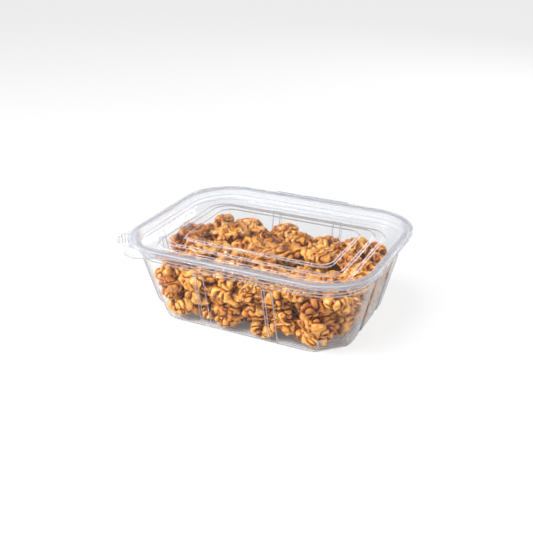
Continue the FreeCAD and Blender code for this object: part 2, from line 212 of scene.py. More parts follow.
# %% [markdown]
# ## Pressing a sheet
# The sheet starts as a circle of vertices and is extruded ring by ring. After each extrusion
# the new ring is moved to its section. A Solidify modifier gives it the real thickness.

# %% Pressing a sheet
def link_piece(name, bm, smooth=True):
    """A mesh object from a bmesh, in metres."""
    mesh = bpy.data.meshes.new(name)
    bm.to_mesh(mesh)
    bm.free()
    if smooth:
        mesh.shade_smooth()
    piece = bpy.data.objects.new(name, mesh)
    bpy.context.scene.collection.objects.link(piece)
    return piece


def press_sheet(places, stations, shape, middle_up):
    """A bmesh of the sheet. shape(place, point, section) makes the flutes, cuts and tabs."""
    bm = bmesh.new()
    bmesh.ops.create_circle(bm, segments=len(places), radius=1)
    bm.verts.ensure_lookup_table()
    order = {vert: i for i, vert in enumerate(bm.verts)}
    edges = bm.edges[:]
    first = edges
    for number, here in enumerate(stations):
        if number:
            grown = bmesh.ops.extrude_edge_only(bm, edges=edges)["geom"]
            edges = [item for item in grown if isinstance(item, bmesh.types.BMEdge)]
            new_order = {}
            for vert in (item for item in grown if isinstance(item, bmesh.types.BMVert)):
                for edge in vert.link_edges:
                    other = edge.other_vert(vert)
                    if other in order:
                        new_order[vert] = order[other]
            order = new_order
        for vert, i in order.items():
            vert.co = shape(places[i], spot(places[i], here), here) * MM
    middle = bmesh.ops.contextual_create(bm, geom=first)["faces"]
    bmesh.ops.recalc_face_normals(bm, faces=bm.faces[:])
    middle[0].normal_update()
    if (middle[0].normal.z > 0) != middle_up:
        bmesh.ops.reverse_faces(bm, faces=bm.faces[:])
    return bm


def thicken(piece, thickness):
    """Real sheet thickness, laid on the inner side of the modelled surface."""
    wall_modifier = piece.modifiers.new("thickness", "SOLIDIFY")
    wall_modifier.thickness = thickness
    wall_modifier.offset = -1
    wall_modifier.use_even_offset = False


# %% [markdown]
# ## Painted light on the bends
# Every bend of clear sheet shows as a pale line, because it gathers light from all around. That
# light is painted here: the turn between neighbouring faces is measured and stored on the mesh,
# and the finish paints a pale colour there. The rim is several layers deep, so it gets a share
# of that painted paleness too, and the tab gets a larger share.

# %% Where bends catch the light
FIRST_TURN = 4.0
FULL_TURN = 18.0
RIM_PALE = 0.28
TAB_PALE = 0.55
TAB_ROOT = 0.2
RIM_BAND = (4.5, 6.5)
RIM_FOOT = (54.0, 57.0)


def rim_inset(x, y):
    """How far inside the rim's outline a point lies, in mm."""
    across = Vector((abs(x) - RIM[0] + RIM[2], abs(y) - RIM[1] + RIM[2]))
    outside = Vector((max(across.x, 0.0), max(across.y, 0.0))).length
    return RIM[2] - outside - min(max(across), 0.0)


def store_bends(piece):
    """Stores on each point how much pale light is painted there, from 0 to 1: more where its sheet turns, and a share
    on the rim and the tab.
    """
    bm = bmesh.new()
    bm.from_mesh(piece.data)
    caught = bm.verts.layers.float.new("caught")
    for vert in bm.verts:
        turn = math.degrees(max(edge.calc_face_angle(0.0) for edge in vert.link_edges))
        x, y, z = vert.co / MM
        inset = rim_inset(x, y)
        # Painted pale light on the rim, fading out inwards and downwards, and a larger share on the tab.
        pale = RIM_PALE * (1 - smooth_step(*RIM_BAND, inset)) * smooth_step(*RIM_FOOT, z)
        if inset < -TAB_ROOT:
            pale = TAB_PALE
        vert[caught] = max(smooth_step(FIRST_TURN, FULL_TURN, turn), pale)
    bm.to_mesh(piece.data)
    bm.free()


def smooth_step(low, high, value):
    """0 below low, 1 above high and a smooth rise between."""
    t = min(max((value - low) / (high - low), 0.0), 1.0)
    return t * t * (3 - 2 * t)


# %% [markdown]
# ## Opening tabs
# At the front left corner the lid and the tray each have a tab to pull them apart. The lid's
# points further left and the tray's further to the front. A tab is a round tip joined to the
# rim by straight edges, so its outline is worked out from the corner's centre.

# %% Opening tabs
CORNER_X = RIM[2] - RIM[0]
CORNER_Y = RIM[2] - RIM[1]
LID_TAB = {"start": 195.0, "tip": 217.0, "end": 260.0, "run": 0.0, "reach": 9.4, "round": 14.0}
TRAY_TAB = {"start": 226.0, "tip": 250.0, "end": 270.0, "run": 12.0, "reach": 11.0, "round": 13.0}
OUTLINE_STEPS = 40


def corner_spot(angle, distance):
    """A point round the centre of the front left corner."""
    a = math.radians(angle)
    return Vector((CORNER_X + distance * math.cos(a), CORNER_Y + distance * math.sin(a)))


def touch_angle(centre, radius, point, side):
    """Where a straight edge from a point touches the tab's round tip."""
    away = point - centre
    return math.atan2(away.y, away.x) + side * math.acos(radius / away.length)


def tab_outline(tab):
    """The tab's outline as evenly spaced points, from its rear root to its front root."""
    first = corner_spot(tab["start"], RIM[2])
    last = corner_spot(tab["end"], RIM[2]) + Vector((tab["run"], 0))
    centre = corner_spot(tab["tip"], RIM[2] + tab["reach"] - tab["round"])
    begin = touch_angle(centre, tab["round"], first, 1)
    finish = touch_angle(centre, tab["round"], last, -1)
    while finish < begin:
        finish += 2 * math.pi
    points = [first]
    for i in range(OUTLINE_STEPS + 1):
        angle = begin + (finish - begin) * i / OUTLINE_STEPS
        points.append(centre + tab["round"] * Vector((math.cos(angle), math.sin(angle))))
    return points + [last]


def along(points, share):
    """The point and the outward direction at a share of an outline's length."""
    lengths = [(b - a).length for a, b in zip(points, points[1:])]
    left = share * sum(lengths)
    for a, b, length in zip(points, points[1:], lengths):
        if left <= length or b is points[-1]:
            way = (b - a).normalized()
            return a + way * min(left, length), Vector((way.y, -way.x))
        left -= length


def tab_share(tab, place):
    """How far along the tab a place of the ring lies, from 0 to 1, or None beside the tab."""
    sx, sy, kind, value = place
    if (sx, sy) != (-1, -1):
        return None
    total = math.radians(tab["end"] - tab["start"]) * RIM[2] + tab["run"]
    if kind == "corner":
        way = math.radians(value - tab["start"]) * RIM[2]
    elif kind == "end":
        way = math.radians(tab["end"] - tab["start"]) * RIM[2] + (-CORNER_X - value)
    else:
        return None
    if way <= 0 or way >= total:
        return None
    return way / total


def pull_tab(tab, place, point, inset):
    """Moves a point of the rim's edge out to the tab's edge."""
    share = tab_share(tab, place)
    if share is None:
        return point
    edge, outward = along(tab["outline"], share)
    edge = edge - outward * inset
    return Vector((edge.x, edge.y, point.z))


for tab in (LID_TAB, TRAY_TAB):
    tab["outline"] = tab_outline(tab)
    print("tab reaches", [round(min(p[k] for p in tab["outline"]), 1) for k in (0, 1)])

# %% [markdown]
# ## The tray's flutes, ledge and cut corners
# The flutes are shallow grooves that stiffen the walls. They could be cut by a boolean, but
# moving the ring's points inwards by a smooth formula gives the soft edges of pressed plastic.
# Below the ledge each corner is cut off flat, in the same way.

# %% Flutes, ledge and cut corners
FLUTE_X = 26.5
FLUTE_Y = 17.0
FLUTE_TOP = 47.5
FLUTE_DEPTH = 1.7
FLUTE_FLAT = 2.6
FLUTE_EDGE = 3.9
LEDGE_SOFT = 0.7


def flute_depth(distance, z):
    """How deep the groove is at a distance from its middle line."""
    across = 1 - smooth_step(FLUTE_FLAT, FLUTE_EDGE, abs(distance))
    upwards = 1 - smooth_step(FLUTE_TOP - FLUTE_DEPTH, FLUTE_TOP, z)
    return FLUTE_DEPTH * across * upwards


def shape_tray(place, point, here):
    """Flutes, cut corners, the tab and the hinge strip of the tray."""
    sx, sy, kind, value = place
    half_x, half_y, radius, z = here
    if z < WALL_TOP:
        full = wall(z)
        inset = full[0] - half_x
        if kind == "end":
            limit = full[1] - flute_depth(value - FLUTE_X, z)
            point.y = sy * min(half_y, limit)
        if kind == "side":
            limit = full[0] - flute_depth(value - FLUTE_Y, z)
            point.x = sx * min(half_x, limit)
        if kind == "corner":
            limit = full[0] + full[1] - CORNER_CUT - math.sqrt(2) * inset
            over = (sx * point.x + sy * point.y - limit) / 2
            over = max(over, 0.0) * (1 - smooth_step(LEDGE - LEDGE_SOFT, LEDGE + LEDGE_SOFT, z))
            point.x -= sx * over
            point.y -= sy * over
    edge_inset = RIM[0] - half_x
    if edge_inset < LIP_INSET / 2:
        if sy > 0 and kind == "end" and value < HINGE_HALF + 0.01:
            point.y = HINGE_BACK - edge_inset
        point = pull_tab(TRAY_TAB, place, point, edge_inset)
    return point


# %% [markdown]
# ## Tray
# From the middle of the base the profile runs over a stiffening groove, up the wall, out over
# a small shoulder, up the neck, over the bead that the lid presses onto and out to the lip.

# %% Tray
def groove_section(inset, z):
    """A section of the base at an inset from its edge."""
    return section(BASE[0] - inset, BASE[1] - inset, max(BASE[2] - inset, 6.0), z)


def rows(low, high, count):
    """Evenly spaced wall stations without a bend."""
    return [(wall(low + (high - low) * i / count), 0) for i in range(count + 1)]


flute_stops = [0.0, 1.2, 1.7] + [FLUTE_FLAT - 0.6 + 0.28 * i for i in range(8)] + [4.3, 5.0]
flute_stops = sorted({side * stop for stop in flute_stops for side in (-1, 1)})
tray_x = [0.0, 12.0] + [FLUTE_X + stop for stop in flute_stops] + [HINGE_HALF + 1.2, 40.0, 44.0, 48.0]
tray_y = [0.0, 8.0] + [FLUTE_Y + stop for stop in flute_stops]
tray_places = places_round(tray_x, tray_y, (22, 22, 48, 22))

lip_under = LIP_TOP - SHEET
neck_under = BEAD_TOP - SHEET
tray_profile = [
    (groove_section(12.0, 0), 0),
    (groove_section(9.0, 0), 0.8),
    (groove_section(8.4, 1.2), 0.5),
    (groove_section(5.6, 1.2), 0.5),
    (groove_section(5.0, 0), 0.8),
    (groove_section(EDGE_BEVEL, 0), 0.9),
    (wall(EDGE_BEVEL), 0.9),
]
tray_profile += rows(4.0, LEDGE - 1.0, 2) + rows(LEDGE - 0.8, LEDGE + 0.8, 8)
tray_profile += rows(LEDGE + 3, FLUTE_TOP - 4, 4) + rows(FLUTE_TOP - 2.4, FLUTE_TOP + 0.4, 10)
tray_profile += [
    (rim(WALL_INSET, WALL_TOP), 1.0),
    (rim(NECK_INSET + SHOULDER_STEP, SHOULDER), 0.6),
    (rim(NECK_INSET, SHOULDER), 0.55),
    (rim(NECK_INSET, neck_under), 0.6),
    (rim(LIP_INSET + SHEET, neck_under), 0.7),
    (rim(LIP_INSET + SHEET, lip_under), 0.5),
    (rim(LIP_INSET * 0.45, lip_under), 0),
    (rim(0.0, lip_under), 0),
]
tray_stations = rounded_profile(tray_profile)
tray = link_piece("pressed_tray", press_sheet(tray_places, tray_stations, shape_tray, False))
store_bends(tray)
thicken(tray, SHEET * MM)
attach(tray, "tray")
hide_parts("tray")
print("tray rings", len(tray_stations), "places", len(tray_places), "faces", len(tray.data.polygons))

# %% [markdown]
# ## Lid
# The lid is one sheet as well. Its middle rises in three low panels, then comes a sunk floor
# and a stepped wall that plugs into the tray's neck, then the flange and its short skirt.

# %% Lid
PANEL = (75.0, 51.0, 15.0)
PANEL_INSETS = (0.0, 6.5, 16.0)
PANEL_RISE = 1.6
PANEL_SLOPE = 0.9
PANEL_CORNER_SHARE = 0.3
PANEL_BEND = 0.55


def panel_section(level, inset, z):
    """A section of one raised panel."""
    start = PANEL_INSETS[level]
    corner = PANEL[2] - start * PANEL_CORNER_SHARE
    return section(PANEL[0] - start - inset, PANEL[1] - start - inset, corner - inset * PANEL_CORNER_SHARE, z)


def shape_lid(place, point, here):
    """The tab and the hinge strip of the lid."""
    sx, sy, kind, value = place
    half_x, half_y, radius, z = here
    edge_inset = RIM[0] - half_x
    foot = RIM_HEIGHT - LID_SKIRT + SHEET
    hinge = sy > 0 and kind == "end" and value < HINGE_HALF + 0.01
    if hinge and edge_inset < 0.9:
        point.y = HINGE_BACK - edge_inset
        point.z = max(point.z, RIM_HEIGHT - SHEET)
    if here[0] > RIM[0] + 0.001:
        out = TAB_STEPS[round((here[0] - RIM[0]) / TAB_MARK) - 1]
        edge = spot(place, rim(0.0, foot))
        if tab_share(LID_TAB, place) is not None:
            edge = edge.lerp(pull_tab(LID_TAB, place, edge, 0.0), out)
        elif hinge:
            edge = Vector((edge.x, HINGE_BACK, point.z))
        else:
            edge.z -= SHEET * out
        point = edge
    return point


TAB_STEPS = (0.07, 0.35, 0.65, 0.93, 1.0)
TAB_MARK = 0.01
lid_profile = [(panel_section(2, PANEL_SLOPE + 1.5, RECESS_FLOOR + 3 * PANEL_RISE), 0)]
for level in (2, 1, 0):
    top = RECESS_FLOOR + (level + 1) * PANEL_RISE
    lid_profile.append((panel_section(level, PANEL_SLOPE, top), PANEL_BEND))
    lid_profile.append((panel_section(level, 0.0, top - PANEL_RISE), PANEL_BEND))
low_inset = RECESS_INSET + RECESS_STEP
lid_profile += [
    (rim(low_inset + RECESS_DRAFT, RECESS_FLOOR), 0.8),
    (rim(low_inset, RECESS_LEDGE), 0.28),
    (rim(RECESS_INSET + RECESS_DRAFT, RECESS_LEDGE), 0.28),
    (rim(RECESS_INSET, RIM_HEIGHT), 0.75),
    (rim(0.0, RIM_HEIGHT), 0.8),
    (rim(0.0, RIM_HEIGHT - LID_SKIRT + SHEET), 0),
]
lid_profile += [(rim(-TAB_MARK * (i + 1), RIM_HEIGHT - LID_SKIRT), 0) for i in range(len(TAB_STEPS))]
lid_x = [0.0, 12.0, 24.0, HINGE_HALF - 0.8, HINGE_HALF, HINGE_HALF + 0.8, 40.0]
lid_places = places_round(lid_x, [0.0, 12.0, 22.0], (26, 26, 56, 26))
lid_stations = rounded_profile(lid_profile)
lid = link_piece("pressed_lid", press_sheet(lid_places, lid_stations, shape_lid, True))
store_bends(lid)
thicken(lid, SHEET * MM)
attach(lid, "lid")
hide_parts("lid")
print("lid rings", len(lid_stations), "places", len(lid_places), "faces", len(lid.data.polygons))

# %% [markdown]
# ## Grip dots on the lid's tab
# Small domes are pressed into the tab so that fingers don't slip. Each is half a sphere made
# flat, and rows of them follow the tab's round tip.

# %% Grip dots
DOT = 0.6
DOT_HEIGHT = 0.35
DOT_PITCH = 2.2
DOT_EDGE = 1.9
DOT_ROWS = (5, 7, 8, 8)
DOT_GAP = 0.01


def grip_dots():
    """All the dots as one mesh."""
    bm = bmesh.new()
    foot = RIM_HEIGHT - LID_SKIRT + SHEET
    for row, count in enumerate(DOT_ROWS):
        x = RIM[2] + LID_TAB["reach"] - DOT_EDGE - row * DOT_PITCH
        for i in range(count):
            y = (i - (count - 1) / 2) * DOT_PITCH
            place = corner_spot(LID_TAB["tip"] + math.degrees(math.atan2(y, x)), math.hypot(x, y))
            made = bmesh.ops.create_uvsphere(bm, u_segments=14, v_segments=10, radius=1)["verts"]
            for vert in made:
                vert.co.z = max(vert.co.z, 0.0)
            bmesh.ops.scale(bm, verts=made, vec=(DOT * MM, DOT * MM, DOT_HEIGHT * MM))
            bmesh.ops.translate(bm, verts=made, vec=Vector((place.x, place.y, foot + DOT_GAP)) * MM)
    return bm


dots = link_piece("lid_tab_dots", grip_dots())
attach(dots, "lid")
print("dots", sum(DOT_ROWS))

# %% [markdown]
# ## Hinge
# The film between the two rims folds when the lid opens. Here it is a fixed strip, curved
# round between the two rims and left on neither body.

# %% Hinge
FILM = 0.25
FILM_STEPS = 16


def hinge_film():
    """A strip swept round the half oval behind the rims."""
    bm = bmesh.new()
    low = LIP_TOP - SHEET / 2
    high = RIM_HEIGHT - SHEET / 2
    middle = (low + high) / 2
    bmesh.ops.create_grid(bm, x_segments=24, y_segments=FILM_STEPS, size=1)
    for vert in bm.verts:
        turn = vert.co.y * math.pi / 2
        x = vert.co.x * (HINGE_HALF - 0.3)
        y = HINGE_BACK - 0.35 + 0.95 * math.cos(turn)
        z = middle + (high - low) / 2 * math.sin(turn)
        vert.co = Vector((x, y, z)) * MM
    bmesh.ops.recalc_face_normals(bm, faces=bm.faces[:])
    return bm


film = link_piece("hinge_film", hinge_film())
store_bends(film)
thicken(film, FILM * MM)
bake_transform(film)
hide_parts("hinge_web")

# %% [markdown]
# ## Walnut halves
# A walnut half is two lobes with a groove between them and deep wandering folds that run
# across. The measured model says where each half lies and how it is turned: its large flat
# face is the underside and its longest way is the length. On each of those places a new half
# is made from a divided cube pushed out to a dome, and folds from noise are pressed into it.

# %% Reading where a half lies
NUT_CUTS = 21


def loose_parts(bm):
    """The vertices of each separate solid, in the order of the mesh."""
    seen = set()
    parts = []
    for first in bm.verts:
        if first in seen:
            continue
        seen.add(first)
        stack = [first]
        part = []
        while stack:
            vert = stack.pop()
            part.append(vert)
            for edge in vert.link_edges:
                other = edge.other_vert(vert)
                if other not in seen:
                    seen.add(other)
                    stack.append(other)
        parts.append(part)
    return parts


def flat_side(verts):
    """The outward direction of the solid's largest flat face."""
    faces = sorted({face for vert in verts for face in vert.link_faces}, key=lambda face: face.index)
    areas = {}
    for face in faces:
        key = tuple(round(v * 12) for v in face.normal)
        areas.setdefault(key, [0.0, Vector((0, 0, 0))])
        areas[key][0] += face.calc_area()
        areas[key][1] += face.normal * face.calc_area()
    return max(areas.values(), key=lambda entry: entry[0])[1].normalized()


def lie_of_half(verts):
    """Where a half lies: a matrix with its centre and turn, and its length, width and height."""
    down = flat_side(verts)
    side = down.orthogonal().normalized()
    cross = down.cross(side)
    points = [vert.co for vert in verts]
    best = None
    for step in range(36):
        turn = math.pi * step / 36
        axis = side * math.cos(turn) + cross * math.sin(turn)
        reach = [axis.dot(p) for p in points]
        size = max(reach) - min(reach)
        if best is None or size > best[0]:
            best = (size, axis)
    x_axis = best[1]
    z_axis = -down
    y_axis = z_axis.cross(x_axis)
    sizes = []
    centre = Vector((0, 0, 0))
    for axis in (x_axis, y_axis, z_axis):
        reach = [axis.dot(p) for p in points]
        sizes.append(max(reach) - min(reach))
        centre += axis * (max(reach) + min(reach)) / 2
    turned = Matrix((x_axis, y_axis, z_axis)).transposed().to_4x4()
    return Matrix.Translation(centre) @ turned, sizes


def halves_of(node_object):
    """The lie of every half in one node."""
    bm = bmesh.new()
    bm.from_mesh(node_object.data)
    bmesh.ops.remove_doubles(bm, verts=bm.verts[:], dist=1e-6)
    bm.normal_update()
    bm.faces.index_update()
    lies = [lie_of_half(part) for part in loose_parts(bm)]
    bm.free()
    return lies


# %% [markdown]
# ## Carving one half
# The folds are made by a noise whose zero lines become narrow creases and whose hills become
# round ridges. It is stretched so that the ridges run from the middle groove outwards.

# %% Carving one half
FOLD_DEPTH = 0.30
GROOVE_DEPTH = 0.32
GROOVE_WIDTH = 0.15


def fold_height(x, y, z, seed):
    """How high the folds stand at a point, 0 in a crease and 1 on a ridge. Units: half widths."""
    shift = Vector((seed * 13.7, seed * 5.1, seed * 9.3))
    sway = noise.noise_vector(Vector((x, y, z)) * 1.3 + shift) * 0.45
    p = Vector((x * 2.3, y * 1.0, z * 1.1)) + sway + shift
    broad = math.tanh(abs(noise.noise(p * 1.15)) * 4.4)
    fine = math.tanh(abs(noise.noise(p * 2.4 + Vector((4.0, 7.0, 1.0)))) * 4.2)
    return broad * (0.66 + 0.34 * fine)


def carve_half(bm, sizes, seed):
    """Turns a divided cube into a walnut half of the given size. Stores how high its folds stand."""
    length, width, height = sizes
    folds = bm.verts.layers.float.new("fold")
    half = width / 2
    bend = math.sin(seed * 2.1) * 0.10
    taper = math.cos(seed * 3.7) * 0.12
    for vert in bm.verts:
        d = vert.co.normalized()
        x, y, z = d
        aspect = length / width
        ridge = fold_height(x * aspect, y, z, seed)
        upper = smooth_step(-0.25, 0.15, z)
        groove = math.exp(-(y / GROOVE_WIDTH) ** 2)
        end_notch = groove * smooth_step(0.72, 1.0, abs(x)) * 0.22
        top_groove = groove * GROOVE_DEPTH * smooth_step(-0.1, 0.6, z)
        lobe = 0.10 * math.exp(-((abs(y) - 0.5) / 0.3) ** 2) * upper
        outward = 1 + FOLD_DEPTH * (ridge - 0.62) + lobe - end_notch
        square = (abs(x) ** 2.6 + abs(y) ** 2.6 + abs(z) ** 2.6) ** (-1 / 2.6)
        px = x * outward * (0.55 + 0.45 * square)
        py = y * outward * (0.55 + 0.45 * square) * (1 + taper * x)
        pz = z * outward
        if z > 0:
            pz -= top_groove * z
            rise = pz * 0.98 - 0.02
        else:
            hollow = 0.50 * math.exp(-((x / 0.72) ** 2 + (y / 0.62) ** 2) * 1.6)
            septum = 0.34 * math.exp(-(y / 0.14) ** 2) * (1 - smooth_step(0.5, 0.9, abs(x)))
            rise = pz * 0.62 + (hollow - septum) * smooth_step(0.05, 0.6, -z)
            rise += 0.10 * (ridge - 0.6)
        py += bend * (px * px - 0.4)
        vert.co = Vector((px * length / 2, py * half, 0))
        vert.co.z = rise * height * 0.80 - height * 0.20
        # The fold value is lowered along the middle groove on top, which darkens the skin there: partly its own dark
        # brown and partly painted shade.
        vert[folds] = min(max(ridge * (1 - 0.55 * groove * upper), 0.0), 1.0)


# %% [markdown]
# ## Filling the tray
# Every half gets its own folds, its own tone and the place of the measured half under it.

# %% Filling the tray
HALF_GROWTH = 1.05
CLOSEST = 0.25
HIGHEST = RECESS_FLOOR - SHEET - CLOSEST


def keep_inside(point):
    """Moves a point in mm to the inner side of the sheet, as a half leans on it."""
    z = min(max(point.z, SHEET + CLOSEST), HIGHEST)
    inset = SHEET + CLOSEST
    half_x, half_y, radius = wall(min(z, WALL_TOP), inset)[:3]
    x, y = abs(point.x), abs(point.y)
    x = min(x, half_x - flute_depth(y - FLUTE_Y, z))
    y = min(y, half_y - flute_depth(x - FLUTE_X, z))
    over = Vector((x - half_x + radius, y - half_y + radius))
    if min(over) > 0 and over.length > radius:
        over = over * (radius / over.length)
        x, y = half_x - radius + over.x, half_y - radius + over.y
    if z < LEDGE + LEDGE_SOFT:
        spare = max(x + y - (half_x + half_y - CORNER_CUT), 0.0) / 2
        x, y = x - spare, y - spare
    return Vector((math.copysign(x, point.x), math.copysign(y, point.y), z))


LARGEST_GROUP = 30


def make_half(name, lies, seeds):
    """One piece holding the carved halves of one node."""
    bm = bmesh.new()
    for (place, sizes), seed in zip(lies, seeds):
        one = bmesh.new()
        bmesh.ops.create_cube(one, size=2)
        bmesh.ops.subdivide_edges(one, edges=one.edges[:], cuts=NUT_CUTS, use_grid_fill=True)
        carve_half(one, [size * HALF_GROWTH for size in sizes], seed)
        bmesh.ops.transform(one, matrix=place, verts=one.verts[:])
        tones = one.verts.layers.float.new("tone")
        tone = (math.sin(seed * 12.9898) * 43758.5453) % 1.0
        for vert in one.verts:
            vert[tones] = tone
            vert.co = keep_inside(vert.co / MM) * MM
        mesh = bpy.data.meshes.new("half")
        one.to_mesh(mesh)
        one.free()
        bm.from_mesh(mesh)
        bpy.data.meshes.remove(mesh)
    bmesh.ops.recalc_face_normals(bm, faces=bm.faces[:])
    return link_piece(name, bm)


halves = []
count = 0
for node_name in sorted(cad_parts):
    if not node_name.startswith("walnut"):
        continue
    lies = halves_of(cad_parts[node_name])
    for start in range(0, len(lies), LARGEST_GROUP):
        group = lies[start:start + LARGEST_GROUP]
        seeds = [count + i + 1.0 for i in range(len(group))]
        count += len(group)
        name = node_name.replace("walnut", "kernel") + ("_%d" % start if len(lies) > 1 else "")
        piece = make_half(name, group, seeds)
        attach(piece, "tray")
        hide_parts(node_name)
        halves.append(piece)
print("walnut halves", count, "in pieces", len(halves))

# %% [markdown]
# ## Shared effects
# Small uneven patches appear in more than one finish, so they are a node group: it takes the
# size and the contrast of the patches and puts out a mask and a height.

# %% Shared effects
def patch_group():
    """Soft uneven patches from one noise."""
    group = bpy.data.node_groups.new("uneven patches", "ShaderNodeTree")
    group.interface.new_socket("Scale", in_out="INPUT", socket_type="NodeSocketFloat")
    group.interface.new_socket("Low", in_out="INPUT", socket_type="NodeSocketFloat")
    group.interface.new_socket("High", in_out="INPUT", socket_type="NodeSocketFloat")
    group.interface.new_socket("Mask", in_out="OUTPUT", socket_type="NodeSocketFloat")
    group.interface.new_socket("Height", in_out="OUTPUT", socket_type="NodeSocketFloat")
    nodes, links = group.nodes, group.links
    start = nodes.new("NodeGroupInput")
    end = nodes.new("NodeGroupOutput")
    place = nodes.new("ShaderNodeTexCoord")
    patches = nodes.new("ShaderNodeTexNoise")
    patches.inputs["Detail"].default_value = 4
    patches.inputs["Roughness"].default_value = 0.6
    limit = nodes.new("ShaderNodeMapRange")
    limit.interpolation_type = "SMOOTHSTEP"
    links.new(place.outputs["Object"], patches.inputs["Vector"])
    links.new(start.outputs["Scale"], patches.inputs["Scale"])
    links.new(patches.outputs["Fac"], limit.inputs["Value"])
    links.new(start.outputs["Low"], limit.inputs["From Min"])
    links.new(start.outputs["High"], limit.inputs["From Max"])
    links.new(limit.outputs["Result"], end.inputs["Mask"])
    links.new(patches.outputs["Fac"], end.inputs["Height"])
    return group


PATCHES = patch_group()


def patches_node(nodes, scale, low, high):
    """The patches placed in a material with their own values."""
    node = nodes.new("ShaderNodeGroup")
    node.node_tree = PATCHES
    node.inputs["Scale"].default_value = scale
    node.inputs["Low"].default_value = low
    node.inputs["High"].default_value = high
    return node


def node_math(nodes, links, operation, first, second):
    """One math node on a socket and a socket or number. Gives its value socket."""
    node = nodes.new("ShaderNodeMath")
    node.operation = operation
    links.new(first, node.inputs[0])
    if isinstance(second, float):
        node.inputs[1].default_value = second
    else:
        links.new(second, node.inputs[1])
    return node.outputs["Value"]


def colour_mix(nodes, links, mask, low, high):
    """Mixes two colours or sockets by a mask and gives the colour socket."""
    mix = nodes.new("ShaderNodeMix")
    mix.data_type = "RGBA"
    links.new(mask, mix.inputs["Factor"])
    for socket, value in ((mix.inputs[6], low), (mix.inputs[7], high)):
        if isinstance(value, tuple):
            socket.default_value = (*value, 1)
        else:
            links.new(value, socket)
    return mix.outputs[2]


# %% [markdown]
# ## Walnut skin
# The skin is golden tan on the ridges and darkens to near black in the creases: partly the
# skin's own dark brown there and partly painted shade. Some halves are darker than others, and
# here and there a chip shows the cream flesh. An oily film gives soft lights.

# %% Walnut skin
def walnut_skin():
    """The finish of the halves, led by the fold and tone stored on each mesh."""
    material = bpy.data.materials.new("walnut skin")
    material.use_nodes = True
    nodes, links = material.node_tree.nodes, material.node_tree.links
    shader = nodes["Principled BSDF"]
    fold = nodes.new("ShaderNodeAttribute")
    fold.attribute_name = "fold"
    tone = nodes.new("ShaderNodeAttribute")
    tone.attribute_name = "tone"
    # Colour by fold height: the near black of the creases is partly the skin's dark brown and partly painted shade.
    ramp = nodes.new("ShaderNodeValToRGB")
    stops = ((0.0, (0.030, 0.005, 0.001)), (0.22, (0.17, 0.038, 0.003)), (0.45, (0.50, 0.165, 0.013)),
             (0.70, (0.76, 0.34, 0.050)), (0.95, (0.90, 0.55, 0.16)))
    while len(ramp.color_ramp.elements) < len(stops):
        ramp.color_ramp.elements.new(0.5)
    for element, (position, colour) in zip(ramp.color_ramp.elements, stops):
        element.position = position
        element.color = (*colour, 1)
    links.new(fold.outputs["Fac"], ramp.inputs["Fac"])
    patches = patches_node(nodes, 130.0, 0.42, 0.68)
    stained = nodes.new("ShaderNodeMix")
    stained.data_type = "RGBA"
    stained.blend_type = "MULTIPLY"
    stained.inputs["Factor"].default_value = 1.0
    links.new(ramp.outputs["Color"], stained.inputs[6])
    stained.inputs[7].default_value = (0.80, 0.62, 0.46, 1)
    spotted = colour_mix(nodes, links, patches.outputs["Mask"], ramp.outputs["Color"], stained.outputs[2])
    darker = nodes.new("ShaderNodeMapRange")
    darker.inputs["From Min"].default_value = 0.72
    darker.inputs["From Max"].default_value = 1.0
    darker.inputs["To Max"].default_value = 0.75
    links.new(tone.outputs["Fac"], darker.inputs["Value"])
    shaded = nodes.new("ShaderNodeMix")
    shaded.data_type = "RGBA"
    shaded.blend_type = "MULTIPLY"
    links.new(darker.outputs["Result"], shaded.inputs["Factor"])
    links.new(spotted, shaded.inputs[6])
    shaded.inputs[7].default_value = (0.62, 0.42, 0.30, 1)
    chips = patches_node(nodes, 70.0, 0.66, 0.70)
    chipped = colour_mix(nodes, links, chips.outputs["Mask"], shaded.outputs[2], (0.88, 0.72, 0.44))
    links.new(chipped, shader.inputs["Base Color"])
    shader.inputs["Roughness"].default_value = 0.25
    shader.inputs["Specular IOR Level"].default_value = 0.36
    shader.inputs["Subsurface Weight"].default_value = 0.0
    grain = patches_node(nodes, 900.0, 0.3, 0.7)
    bump = nodes.new("ShaderNodeBump")
    bump.inputs["Strength"].default_value = 0.35
    bump.inputs["Distance"].default_value = 0.0006
    links.new(grain.outputs["Height"], bump.inputs["Height"])
    links.new(bump.outputs["Normal"], shader.inputs["Normal"])
    return material


skin = walnut_skin()
for piece in halves:
    piece.data.materials.append(skin)

# %% [markdown]
# ## Clear sheet
# The plastic is a clear solid that bends light a little more than glass. Rays that carry only
# shadow or soft light pass straight through, so that the walnuts inside are lit as they are
# under a real thin sheet. A very weak waviness of the pressing keeps reflections alive.

# %% Clear sheet
EDGE_LIGHT = 0.35
BEND_LIGHT = 0.42
DEEPEST = 6.5


